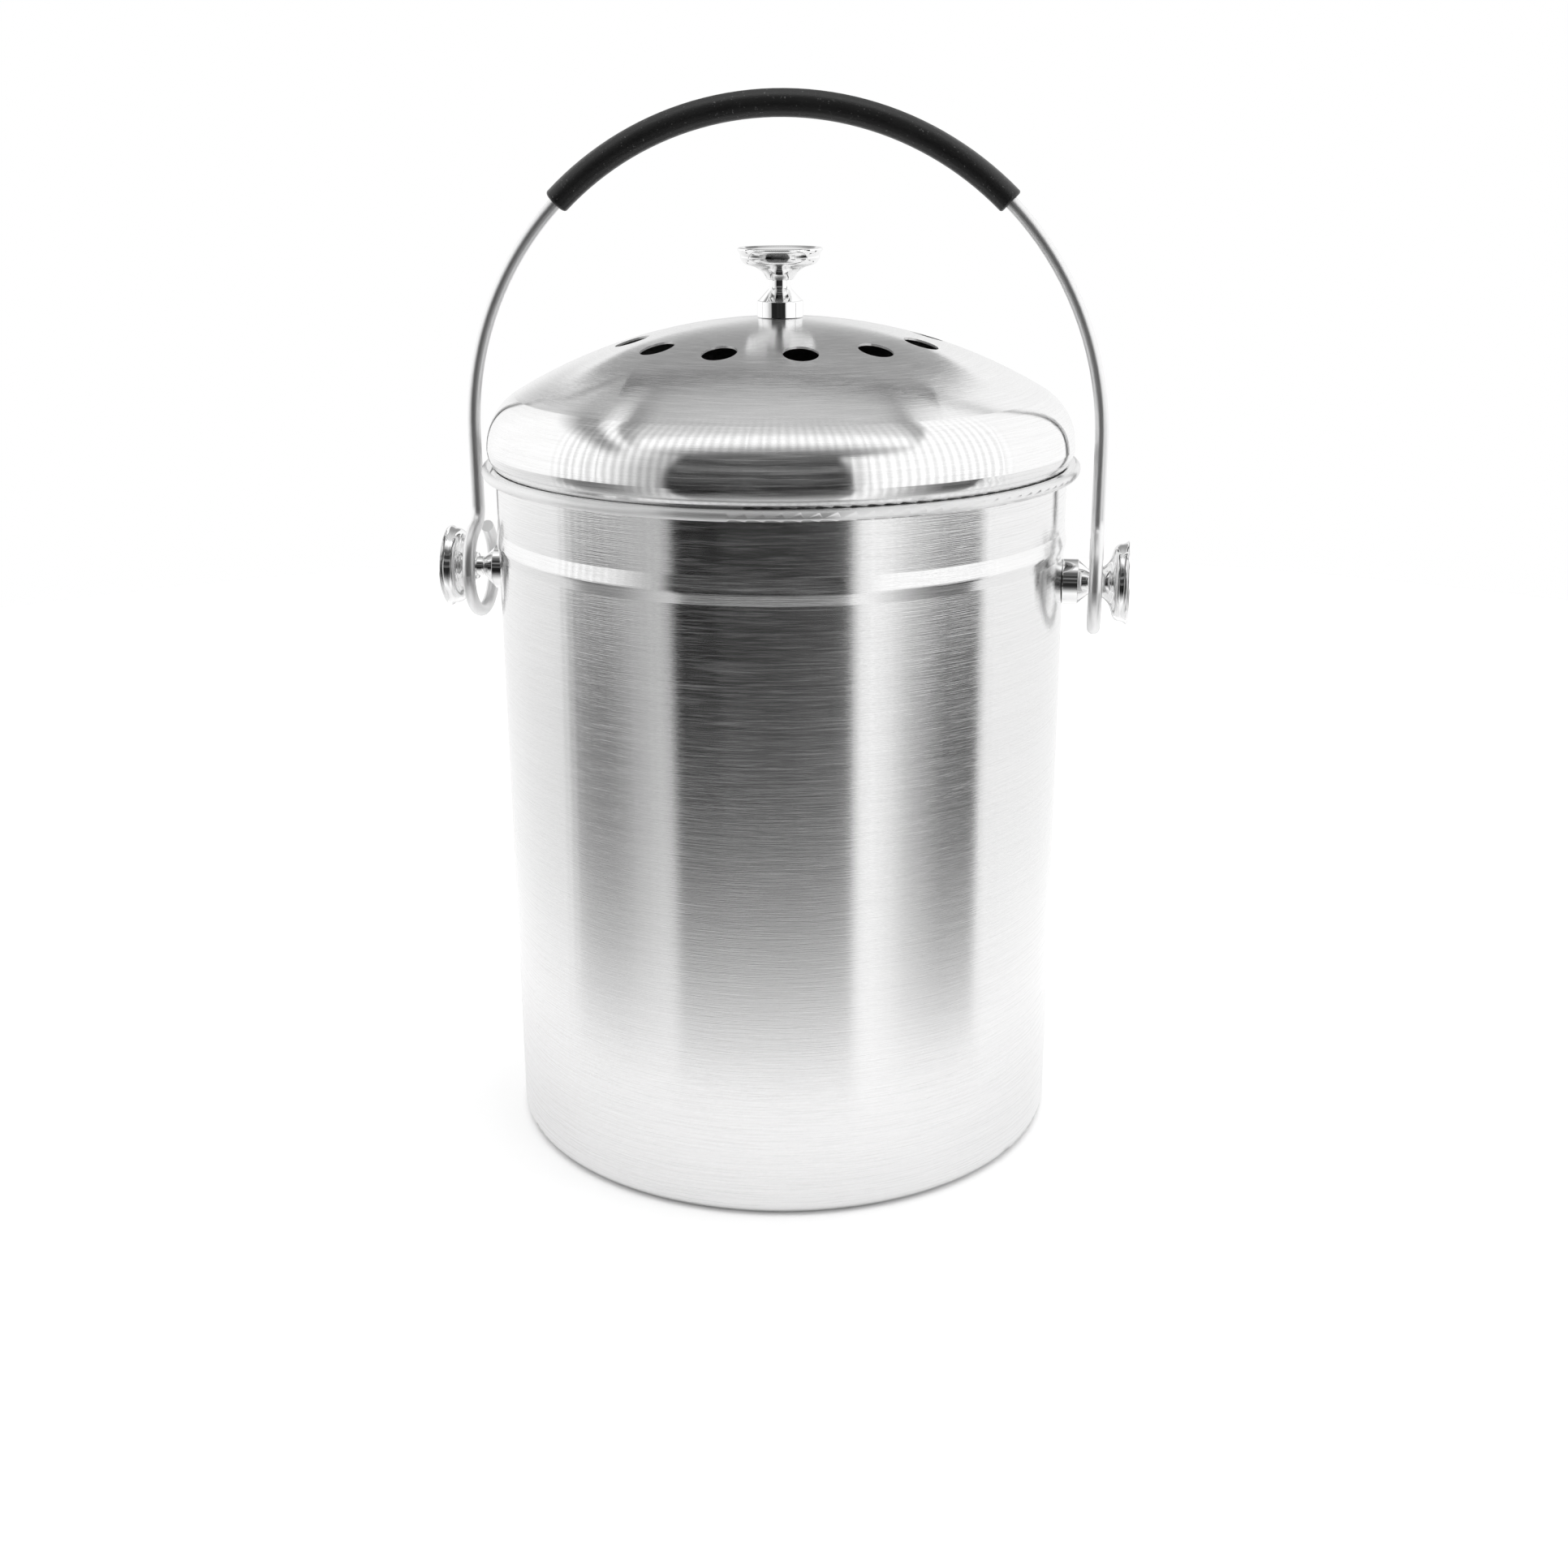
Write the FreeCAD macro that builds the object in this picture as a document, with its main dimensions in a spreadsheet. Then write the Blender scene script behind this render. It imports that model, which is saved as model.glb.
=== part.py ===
import FreeCAD, Part
import math
import os
import Sketcher
from FreeCAD import Placement, Rotation, Vector

# Countertop compost bin: a drawn steel pail with a lift-off vented lid and a swinging bail handle.
# Millimetres, +Z up. The origin is the middle of the base, on the surface that the bin stands on.
# The bail's pivots lie along X, and the front of the bin faces -Y.

doc = FreeCAD.newDocument("CompostBin")
sheet = doc.addObject("Spreadsheet::Sheet", "Sizes")

SIZES = (
    # Pail
    ("body_radius", 87.0, "outside of the straight wall"),
    ("wall", 0.6, "sheet thickness of the pail"),
    ("base_corner", 4.0, "outside radius where wall and base meet"),
    ("foot_width", 7.0, "width of the flat ring that the pail stands on"),
    ("base_lift", 1.5, "height of the raised middle of the base"),
    ("base_step", 2.0, "width of the slope up to the raised middle"),
    ("rim_roll", 1.6, "outside radius of the bend out of the wall and of the roll at the rim"),
    ("rim_flat", 1.4, "flat top of the rim, from that bend to the roll"),
    ("rim_height", 211.0, "height of the middle of the rolled rim"),
    ("rim_roll_end", 130.0, "degrees that the roll turns under its outermost point"),
    ("bead_drop", 21.7, "from the middle of the rim down to the ridge of the bead"),
    ("bead_rise", 4.6, "from the ridge of the bead up to the plain wall"),
    ("bead_fall", 3.3, "from the ridge of the bead down to the plain wall"),
    ("bead_bulge", 0.6, "how far the faces of the bead would meet out of the wall"),
    ("bead_round", 3.0, "radius of the ridge between those faces"),
    ("pivot_gap", 2.6, "plain wall between the bead and the collar of a pivot knob"),
    ("seat_clearance", 0.05, "gap between a fastened piece and a curved sheet"),
    # Lid
    ("lid_overhang", 1.2, "how far the lid reaches past the middle of the rim's bend"),
    ("lid_wall", 0.6, "sheet thickness of the lid"),
    ("dome_radius", 159.0, "radius of the dome"),
    ("shoulder_radius", 18.0, "radius of the shoulder around the dome"),
    ("tuck_radius", 7.3, "radius under the shoulder, where the lid turns in"),
    ("fold_radius", 1.0, "radius of the fold between lid and skirt"),
    ("skirt_depth", 10.0, "how far the skirt reaches below the middle of the rim"),
    ("lid_fit", 0.6, "gap between the skirt and the pail"),
    ("lid_seat_gap", 0.1, "gap between the lid and the rim that carries it"),
    ("vent_radius", 5.15, "radius of a vent hole"),
    ("vent_ring_radius", 44.6, "radius of the ring of vent holes"),
    ("vent_count", 12, "number of vent holes"),
    ("vent_angle", 15.8, "degrees from +X to the first vent hole"),
    # Knobs, all three of one casting, measured along their own axis from the seat
    ("collar_radius", 6.9, "collar that sits on the sheet"),
    ("collar_height", 4.7, "height of the collar"),
    ("collar_round", 0.3, "rounded edge of the collar"),
    ("waist_radius", 3.05, "waist that the bail's eye goes round"),
    ("cone_length", 3.3, "from the collar to the top of the cone"),
    ("cone_swell", 0.45, "how much wider than the waist the top of the cone is"),
    ("cone_round", 2.0, "round between cone and waist"),
    ("neck_length", 1.0, "from the top of the cone to the waist"),
    ("waist_length", 1.6, "length of the waist"),
    ("cup_step", 1.05, "how much wider than the waist the cup starts"),
    ("cup_step_rise", 0.3, "from the waist to the start of the cup"),
    ("cup_flare", 4.6, "how much the cup widens"),
    ("cup_length", 3.9, "length of the cup"),
    ("cup_round", 6.5, "radius of the cup's flare"),
    ("ring_step", 0.5, "ledge between cup and ring"),
    ("ring_step_rise", 0.2, "rise of that ledge"),
    ("ring_flare", 2.6, "how much the ring widens"),
    ("ring_length", 2.2, "length of the ring"),
    ("ring_round", 2.8, "radius of the ring's underside"),
    ("face_flare", 0.9, "how much the knob widens from ring to face"),
    ("face_flare_length", 2.2, "from the ring to the widest part of the face"),
    ("face_flare_round", 3.0, "radius between ring and face"),
    ("face_edge_width", 0.5, "width of the rounded edge of the face"),
    ("face_edge_rise", 0.6, "height of the rounded edge of the face"),
    ("face_edge_round", 0.6, "radius of the rounded edge of the face"),
    ("land_width", 1.0, "flat land round the dish in the face"),
    ("dish_slope", 0.8, "width of the slope from the land into the dish"),
    ("dish_depth", 0.5, "depth of the dish at its edge"),
    ("dish_crown", 0.4, "how far the middle of the dish rises again"),
    # Fasteners
    ("screw_radius", 1.75, "outside of the screw's thread"),
    ("screw_grip", 6.5, "length of screw inside a knob"),
    ("screw_end_gap", 1.0, "room past the end of the screw in a knob"),
    ("thread_clearance", 0.05, "gap between screw and knob"),
    ("screw_head_radius", 3.5, "outside of the screw's head"),
    ("screw_head_height", 2.4, "height of the screw's head"),
    ("screw_head_round", 0.9, "rounded edge of the screw's head"),
    ("recess_length", 4.2, "length of each arm of the cross recess, end to end"),
    ("recess_width", 1.0, "width of each arm of the cross recess"),
    ("recess_depth", 1.3, "depth of the cross recess"),
    ("screw_hole_clearance", 0.15, "gap between screw and the sheets it goes through"),
    ("washer_radius", 5.0, "outside of a washer"),
    ("washer_thickness", 0.8, "thickness of a washer"),
    # Bail
    ("wire_radius", 2.0, "half the wire's thickness"),
    ("bail_rise", 42.2, "height of the arch's middle above the pivots"),
    ("eye_radius", 14.0, "radius of the eye, along the middle of the wire"),
    ("eye_bend", 6.0, "radius of the bend from leg to eye, along the middle of the wire"),
    ("eye_end_angle", 54.0, "degrees from +Y to the free end of the wire"),
    ("grip_wall", 1.95, "thickness of the grip sleeve"),
    ("grip_fit", 0.05, "gap between sleeve and wire"),
    ("grip_half_angle", 44.5, "degrees that the sleeve covers each side of the top"),
    ("grip_end_round", 0.8, "rounded ends of the sleeve"),
    # Filter
    ("tray_fit", 0.3, "gap between the tray and the skirt"),
    ("tray_wall", 1.8, "thickness of the tray"),
    ("tray_height", 8.5, "height of the tray's wall"),
    ("tray_flange", 9.0, "width of the ring that the filter lies on"),
    ("spoke_width", 4.0, "width of a bar of the grille"),
    ("spoke_count", 6, "number of bars in the grille"),
    ("hub_radius", 10.0, "disc in the middle of the grille"),
    ("inner_ring_radius", 30.0, "inside of the smaller ring of the grille"),
    ("outer_ring_radius", 53.0, "inside of the larger ring of the grille"),
    ("ring_width", 3.0, "width of the rings of the grille"),
    ("filter_fit", 0.6, "gap between the filter and the tray's wall"),
    ("filter_thickness", 6.5, "thickness of the filter"),
    ("filter_round", 1.0, "rounded edges of the filter"),
)
for row, (alias, value, meaning) in enumerate(SIZES, start=1):
    sheet.set(f"A{row}", meaning)
    sheet.set(f"B{row}", str(value))
    sheet.setAlias(f"B{row}", alias)
doc.recompute()

# Sizes that follow from the sheet, as expressions that the features below are bound to.
PAIL_INSIDE = "(Sizes.body_radius - Sizes.wall)"
CORNER_MIDDLE = "(Sizes.body_radius - Sizes.base_corner)"
FOOT_RADIUS = f"({CORNER_MIDDLE} - Sizes.foot_width)"
BEND_MIDDLE = f"({PAIL_INSIDE} + Sizes.rim_roll)"
ROLL_MIDDLE = f"({BEND_MIDDLE} + Sizes.rim_flat)"
BEAD_RIDGE = "(Sizes.rim_height - Sizes.bead_drop)"
BEAD_TOP = f"({BEAD_RIDGE} + Sizes.bead_rise)"
BEAD_FOOT = f"({BEAD_RIDGE} - Sizes.bead_fall)"
PIVOT_HEIGHT = f"({BEAD_FOOT} - Sizes.pivot_gap - Sizes.collar_radius)"
KNOB_SEAT = "(Sizes.body_radius + Sizes.seat_clearance)"
WAIST_START = "(Sizes.collar_height + Sizes.cone_length + Sizes.neck_length)"

SKIRT_RADIUS = f"({PAIL_INSIDE} - Sizes.lid_fit)"
SKIRT_BOTTOM = "(Sizes.rim_height - Sizes.skirt_depth)"
LID_RADIUS = f"({BEND_MIDDLE} + Sizes.lid_overhang)"
TUCK_MIDDLE = f"({LID_RADIUS} - Sizes.tuck_radius)"
SHOULDER_MIDDLE = f"({LID_RADIUS} - Sizes.shoulder_radius)"
FOLD_MIDDLE = f"({SKIRT_RADIUS} + Sizes.fold_radius)"
SEAT_REACH = "(Sizes.rim_roll + Sizes.tuck_radius + Sizes.lid_seat_gap)"
LID_WIDEST = f"(Sizes.rim_height + sqrt({SEAT_REACH}^2 - ({BEND_MIDDLE} - {TUCK_MIDDLE})^2))"
FOLD_REACH = "(Sizes.tuck_radius + Sizes.fold_radius)"
FOLD_DROP = f"sqrt({FOLD_REACH}^2 - ({FOLD_MIDDLE} - {TUCK_MIDDLE})^2)"
DOME_REACH = "(Sizes.dome_radius - Sizes.shoulder_radius)"
DOME_DROP = f"sqrt({DOME_REACH}^2 - {SHOULDER_MIDDLE}^2)"
DOME_MIDDLE = f"({LID_WIDEST} - {DOME_DROP})"
DOME_TOP = f"({DOME_MIDDLE} + Sizes.dome_radius)"

SCREW_HOLE = "(Sizes.screw_radius + Sizes.screw_hole_clearance)"
WALL_WASHER = f"(sqrt({PAIL_INSIDE}^2 - Sizes.washer_radius^2) - Sizes.seat_clearance)"
DOME_INSIDE = "(Sizes.dome_radius - Sizes.lid_wall)"
LID_WASHER = f"({DOME_MIDDLE} + sqrt({DOME_INSIDE}^2 - Sizes.washer_radius^2) - Sizes.seat_clearance)"

BAIL_HALF_WIDTH = f"({KNOB_SEAT} + {WAIST_START} + Sizes.waist_length / 2)"
ARCH_HEIGHT = f"({PIVOT_HEIGHT} + Sizes.bail_rise)"
EYE_BEND_RISE = "sqrt(Sizes.eye_radius^2 + 2 * Sizes.eye_radius * Sizes.eye_bend)"
LEG_END = f"({PIVOT_HEIGHT} + {EYE_BEND_RISE})"

GRIP_BORE = "(Sizes.wire_radius + Sizes.grip_fit)"
GRIP_RADIUS = f"({GRIP_BORE} + Sizes.grip_wall)"

TRAY_RADIUS = f"({SKIRT_RADIUS} - Sizes.lid_wall - Sizes.tray_fit)"
FILTER_RADIUS = f"({TRAY_RADIUS} - Sizes.tray_wall - Sizes.filter_fit)"

LEFT_TURN = 1
RIGHT_TURN = -1


def measure(expression):
    """Value of an expression of the sheet."""
    return float(sheet.evalExpression(expression))


def new_body(label):
    body = doc.addObject("PartDesign::Body", label)
    body.Label = label
    return body


def new_sketch(body, name, role="XZ_Plane", offset=None):
    """Sketch on one of the body's own origin planes, moved along the plane's normal by an expression."""
    plane = next(feature for feature in body.Origin.OriginFeatures if feature.Role == role)
    sketch = body.newObject("Sketcher::SketchObject", f"{body.Label}_{name}")
    sketch.AttachmentSupport = [(plane, "")]
    sketch.MapMode = "FlatFace"
    if offset:
        sketch.setExpression("AttachmentOffset.Base.z", offset)
    return sketch


def bind(sketch, constraint, expression):
    """Add a constraint with a size and tie that size to an expression."""
    index = sketch.addConstraint(constraint)
    sketch.setExpression(f"Constraints[{index}]", expression)


def pin_point(sketch, edge, end, across, up):
    """Fix one end of an edge at two expressions, measured from the sketch's origin."""
    origin, vertical_axis, horizontal_axis = -1, -2, -1
    sides = (("DistanceX", across, vertical_axis), ("DistanceY", up, horizontal_axis))
    for kind, expression, axis in sides:
        if expression == "0":
            sketch.addConstraint(Sketcher.Constraint("PointOnObject", edge, end, axis))
        else:
            size = measure(expression)
            bind(sketch, Sketcher.Constraint(kind, origin, 1, edge, end, size), expression)


def arc_between(start, end, radius, turn):
    """Arc of less than a half circle from start to end, and its own start and end numbers in that order."""
    chord = end - start
    left = Vector(-chord.y, chord.x, 0).normalize()
    height = math.sqrt(max(radius ** 2 - (chord.Length / 2) ** 2, 0))
    middle = (start + end) / 2 + left * height * turn
    first, last = (start, end) if turn == LEFT_TURN else (end, start)
    angles = [math.atan2(point.y - middle.y, point.x - middle.x) for point in (first, last)]
    if angles[1] < angles[0]:
        angles[1] += 2 * math.pi
    circle = Part.Circle(middle, Vector(0, 0, 1), radius)
    ends = (1, 2) if turn == LEFT_TURN else (2, 1)
    return Part.ArcOfCircle(circle, *angles), ends


def draw_path(sketch, start, steps, closed=True):
    """Run of lines and arcs through named corners.

    A corner is (across, up) for a straight step, or (across, up, radius, turn) for a round one,
    all as expressions of the sheet.
    """
    corners = [start] + list(steps) + ([start] if closed else [])
    points = [Vector(measure(corner[0]), measure(corner[1]), 0) for corner in corners]
    joints = []
    for corner, begin, end in zip(corners[1:], points, points[1:]):
        if len(corner) == 4:
            shape, ends = arc_between(begin, end, measure(corner[2]), corner[3])
            edge = sketch.addGeometry(shape)
            bind(sketch, Sketcher.Constraint("Radius", edge, measure(corner[2])), corner[2])
        else:
            edge = sketch.addGeometry(Part.LineSegment(begin, end))
            ends = (1, 2)
        joints.append((edge, *ends))
    for (edge, _, end), (next_edge, next_start, _) in zip(joints, joints[1:]):
        sketch.addConstraint(Sketcher.Constraint("Coincident", edge, end, next_edge, next_start))
    if closed:
        last_edge, _, last_end = joints[-1]
        sketch.addConstraint(Sketcher.Constraint("Coincident", last_edge, last_end, *joints[0][:2]))
    for (edge, begin, _), corner in zip(joints, corners):
        pin_point(sketch, edge, begin, corner[0], corner[1])
    if not closed:
        pin_point(sketch, joints[-1][0], joints[-1][2], corners[-1][0], corners[-1][1])


def draw_circle(sketch, radius, across="0", up="0"):
    middle = Vector(measure(across), measure(up), 0)
    edge = sketch.addGeometry(Part.Circle(middle, Vector(0, 0, 1), measure(radius)))
    bind(sketch, Sketcher.Constraint("Radius", edge, measure(radius)), radius)
    pin_point(sketch, edge, 3, across, up)


def draw_rectangle(sketch, left, bottom, right, top):
    draw_path(sketch, (left, bottom), [(right, bottom), (right, top), (left, top)])


def revolve(body, name, sketch, angle=360):
    """Turn a sketch about its own vertical axis."""
    feature = body.newObject("PartDesign::Revolution", f"{body.Label}_{name}")
    feature.Profile = sketch
    feature.ReferenceAxis = (sketch, ["V_Axis"])
    feature.Angle = angle
    return feature


def pad(body, name, sketch, length):
    feature = body.newObject("PartDesign::Pad", f"{body.Label}_{name}")
    feature.Profile = sketch
    feature.setExpression("Length", length)
    return feature


def cut_through(body, name, sketch, reach):
    """Cut a sketch both ways from its plane, as far as an expression reaches, and see that it cuts."""
    doc.recompute()
    before = body.Shape.Volume
    feature = body.newObject("PartDesign::Pocket", f"{body.Label}_{name}")
    feature.Profile = sketch
    feature.SideType = "Symmetric"
    feature.setExpression("Length", f"2 * {reach}")
    doc.recompute()
    if not body.Shape.Volume < before:
        raise RuntimeError(f"{feature.Name} cuts nothing")
    return feature


def polar_pattern(body, name, feature, count):
    """Repeat a feature around the body's Z axis."""
    axis = next(item for item in body.Origin.OriginFeatures if item.Role == "Z_Axis")
    pattern = body.newObject("PartDesign::PolarPattern", f"{body.Label}_{name}")
    pattern.Originals = [feature]
    pattern.Axis = (axis, [""])
    pattern.Angle = 360
    pattern.setExpression("Occurrences", count)
    body.Tip = pattern
    return pattern


def round_circles(body, name, radius, circle_radius):
    """Round every circular edge of one radius."""
    doc.recompute()
    base = body.Tip
    target = measure(circle_radius)
    edges = []
    for number, edge in enumerate(base.Shape.Edges, start=1):
        if isinstance(edge.Curve, Part.Circle) and abs(edge.Curve.Radius - target) < 1e-6:
            edges.append(f"Edge{number}")
    feature = body.newObject("PartDesign::Fillet", f"{body.Label}_{name}")
    feature.Base = (base, edges)
    feature.setExpression("Radius", radius)
    return feature


def place(body, axis, along, height):
    """Stand a piece that is modelled along +Z on the X axis (axis 1 or -1) or upright (axis 0)."""
    body.Placement = Placement(Vector(), Rotation(Vector(0, 1, 0), 90 * axis))
    if axis:
        body.setExpression("Placement.Base.x", f"{axis} * {along}")
    body.setExpression("Placement.Base.z", height)


def bead_ends(wall_side):
    """Where the round ridge of the bead meets its lower and its upper face, on one side of the sheet."""
    fall_slant = "sqrt(Sizes.bead_fall^2 + Sizes.bead_bulge^2)"
    rise_slant = "sqrt(Sizes.bead_rise^2 + Sizes.bead_bulge^2)"
    bulge = "Sizes.bead_bulge"
    turn_sine = f"({bulge} * (Sizes.bead_rise + Sizes.bead_fall) / ({fall_slant} * {rise_slant}))"
    turn_cosine = f"((Sizes.bead_fall * Sizes.bead_rise - {bulge}^2) / ({fall_slant} * {rise_slant}))"
    tangent = f"(Sizes.bead_round * {turn_sine} / (1 + {turn_cosine}))"
    lower = (
        f"{wall_side} + {bulge} * (1 - {tangent} / {fall_slant})",
        f"{BEAD_RIDGE} - Sizes.bead_fall * {tangent} / {fall_slant}",
    )
    upper = (
        f"{wall_side} + {bulge} * (1 - {tangent} / {rise_slant})",
        f"{BEAD_RIDGE} + Sizes.bead_rise * {tangent} / {rise_slant}",
    )
    return lower, upper


def make_pail():
    """Drawn pail: stepped base, straight wall with a bead, and the rim bent and rolled outwards."""
    body = new_body("pail_shell")
    sketch = new_sketch(body, "section")
    lower_outside, upper_outside = bead_ends("Sizes.body_radius")
    lower_inside, upper_inside = bead_ends(PAIL_INSIDE)
    corner_inside = "(Sizes.base_corner - Sizes.wall)"
    step_end = f"({FOOT_RADIUS} - Sizes.base_step)"
    roll_inside = "(Sizes.rim_roll - Sizes.wall)"
    roll_outside = "Sizes.rim_roll"

    def on_roll(radius, angle):
        return f"{ROLL_MIDDLE} + {radius} * cos({angle})", f"Sizes.rim_height + {radius} * sin({angle})"

    half_way = "(90 - Sizes.rim_roll_end) / 2"
    roll_end = "-Sizes.rim_roll_end"
    draw_path(sketch, ("0", "Sizes.base_lift"), [
        (step_end, "Sizes.base_lift"),
        (FOOT_RADIUS, "0"),
        (CORNER_MIDDLE, "0"),
        ("Sizes.body_radius", "Sizes.base_corner", "Sizes.base_corner", LEFT_TURN),
        ("Sizes.body_radius", BEAD_FOOT),
        lower_outside,
        (*upper_outside, "Sizes.bead_round", LEFT_TURN),
        ("Sizes.body_radius", BEAD_TOP),
        ("Sizes.body_radius", "Sizes.rim_height"),
        (BEND_MIDDLE, f"Sizes.rim_height + {roll_inside}", roll_inside, RIGHT_TURN),
        (ROLL_MIDDLE, f"Sizes.rim_height + {roll_inside}"),
        (*on_roll(roll_inside, half_way), roll_inside, RIGHT_TURN),
        (*on_roll(roll_inside, roll_end), roll_inside, RIGHT_TURN),
        on_roll(roll_outside, roll_end),
        (*on_roll(roll_outside, half_way), roll_outside, LEFT_TURN),
        (ROLL_MIDDLE, f"Sizes.rim_height + {roll_outside}", roll_outside, LEFT_TURN),
        (BEND_MIDDLE, f"Sizes.rim_height + {roll_outside}"),
        (PAIL_INSIDE, "Sizes.rim_height", roll_outside, LEFT_TURN),
        (PAIL_INSIDE, BEAD_TOP),
        upper_inside,
        (*lower_inside, "Sizes.bead_round", RIGHT_TURN),
        (PAIL_INSIDE, BEAD_FOOT),
        (PAIL_INSIDE, "Sizes.base_corner"),
        (CORNER_MIDDLE, "Sizes.wall", corner_inside, RIGHT_TURN),
        (FOOT_RADIUS, "Sizes.wall"),
        (step_end, "Sizes.base_lift + Sizes.wall"),
        ("0", "Sizes.base_lift + Sizes.wall"),
    ])
    revolve(body, "drawn", sketch)
    holes = new_sketch(body, "screw_holes", "YZ_Plane")
    draw_circle(holes, SCREW_HOLE, "0", PIVOT_HEIGHT)
    cut_through(body, "drilled", holes, "Sizes.body_radius")
    return body


def lid_side(inset):
    """Corners of the lid from skirt to crown, on a surface that lies inset inside the outer one."""
    tuck = f"(Sizes.tuck_radius - {inset})"
    fold = f"(Sizes.fold_radius + {inset})"
    dome = f"(Sizes.dome_radius - {inset})"
    fold_height = f"({LID_WIDEST} - {FOLD_DROP})"
    fold_point = (
        f"{TUCK_MIDDLE} + {tuck} * ({FOLD_MIDDLE} - {TUCK_MIDDLE}) / {FOLD_REACH}",
        f"{LID_WIDEST} - {tuck} * {FOLD_DROP} / {FOLD_REACH}",
    )
    dome_point = (
        f"{dome} * {SHOULDER_MIDDLE} / {DOME_REACH}",
        f"{DOME_MIDDLE} + {dome} * {DOME_DROP} / {DOME_REACH}",
    )
    return {
        "skirt": (f"{SKIRT_RADIUS} - {inset}", fold_height),
        "fold": (*fold_point, fold),
        "widest": (f"{LID_RADIUS} - {inset}", LID_WIDEST, tuck),
        "shoulder": (*dome_point, f"(Sizes.shoulder_radius - {inset})"),
        "crown": ("0", f"{DOME_MIDDLE} + {dome}", dome),
    }


def make_lid():
    """Domed lid: plug skirt, fold over the rim, shoulder, dome and the ring of vents."""
    body = new_body("lid_dome")
    sketch = new_sketch(body, "section")
    outer = lid_side("0")
    inner = lid_side("Sizes.lid_wall")
    draw_path(sketch, (f"{SKIRT_RADIUS} - Sizes.lid_wall", SKIRT_BOTTOM), [
        (SKIRT_RADIUS, SKIRT_BOTTOM),
        outer["skirt"],
        (*outer["fold"], RIGHT_TURN),
        (*outer["widest"], LEFT_TURN),
        (*outer["shoulder"], LEFT_TURN),
        (*outer["crown"], LEFT_TURN),
        inner["crown"][:2],
        (*inner["shoulder"][:2], inner["crown"][2], RIGHT_TURN),
        (*inner["widest"][:2], inner["shoulder"][2], RIGHT_TURN),
        (*inner["fold"][:2], inner["widest"][2], RIGHT_TURN),
        (*inner["skirt"], inner["fold"][2], LEFT_TURN),
    ])
    revolve(body, "pressed", sketch)
    hole = new_sketch(body, "screw_hole", "XY_Plane")
    draw_circle(hole, SCREW_HOLE)
    cut_through(body, "drilled", hole, f"({DOME_TOP})")
    vent = new_sketch(body, "vent_outline", "XY_Plane")
    draw_circle(vent, "Sizes.vent_radius", "Sizes.vent_ring_radius * cos(Sizes.vent_angle)",
                "Sizes.vent_ring_radius * sin(Sizes.vent_angle)")
    punched = cut_through(body, "vent", vent, f"({DOME_TOP})")
    polar_pattern(body, "vents", punched, "Sizes.vent_count")
    return body


def make_knob(label, axis, along, height):
    """Cast knob: collar, cone, waist, flared cup and a dished face, with a blind screw hole."""
    body = new_body(label)
    sketch = new_sketch(body, "section")
    collar_face = "Sizes.collar_radius - Sizes.collar_round"
    cone_top = "(Sizes.collar_height + Sizes.cone_length)"
    waist_end = f"({WAIST_START} + Sizes.waist_length)"
    cup_start = f"({waist_end} + Sizes.cup_step_rise)"
    cup_end = f"({cup_start} + Sizes.cup_length)"
    ring_start = f"({cup_end} + Sizes.ring_step_rise)"
    ring_end = f"({ring_start} + Sizes.ring_length)"
    face_edge = f"({ring_end} + Sizes.face_flare_length)"
    face_top = f"({face_edge} + Sizes.face_edge_rise)"
    dish_edge = f"({face_top} - Sizes.dish_depth)"
    cone_radius = "(Sizes.waist_radius + Sizes.cone_swell)"
    cup_neck_radius = "(Sizes.waist_radius + Sizes.cup_step)"
    cup_radius = f"({cup_neck_radius} + Sizes.cup_flare)"
    ring_start_radius = f"({cup_radius} + Sizes.ring_step)"
    ring_radius = f"({ring_start_radius} + Sizes.ring_flare)"
    face_radius = f"({ring_radius} + Sizes.face_flare)"
    land_radius = f"({face_radius} - Sizes.face_edge_width)"
    dish_edge_radius = f"({land_radius} - Sizes.land_width)"
    dish_radius = f"({dish_edge_radius} - Sizes.dish_slope)"
    crown_radius = f"({dish_radius}^2 + Sizes.dish_crown^2) / (2 * Sizes.dish_crown)"
    draw_path(sketch, ("0", "0"), [
        ("Sizes.collar_radius", "0"),
        ("Sizes.collar_radius", "Sizes.collar_height - Sizes.collar_round"),
        (collar_face, "Sizes.collar_height", "Sizes.collar_round", LEFT_TURN),
        (cone_radius, cone_top),
        ("Sizes.waist_radius", WAIST_START, "Sizes.cone_round", RIGHT_TURN),
        ("Sizes.waist_radius", waist_end),
        (cup_neck_radius, cup_start),
        (cup_radius, cup_end, "Sizes.cup_round", RIGHT_TURN),
        (ring_start_radius, ring_start),
        (ring_radius, ring_end, "Sizes.ring_round", LEFT_TURN),
        (face_radius, face_edge, "Sizes.face_flare_round", RIGHT_TURN),
        (land_radius, face_top, "Sizes.face_edge_round", LEFT_TURN),
        (dish_edge_radius, face_top),
        (dish_radius, dish_edge),
        ("0", f"{dish_edge} + Sizes.dish_crown", crown_radius, LEFT_TURN),
    ])
    revolve(body, "turned", sketch)
    hole = new_sketch(body, "screw_hole", "XY_Plane")
    draw_circle(hole, "Sizes.screw_radius + Sizes.thread_clearance")
    cut_through(body, "tapped", hole, "(Sizes.screw_grip + Sizes.screw_end_gap)")
    place(body, axis, along, height)
    return body


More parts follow.
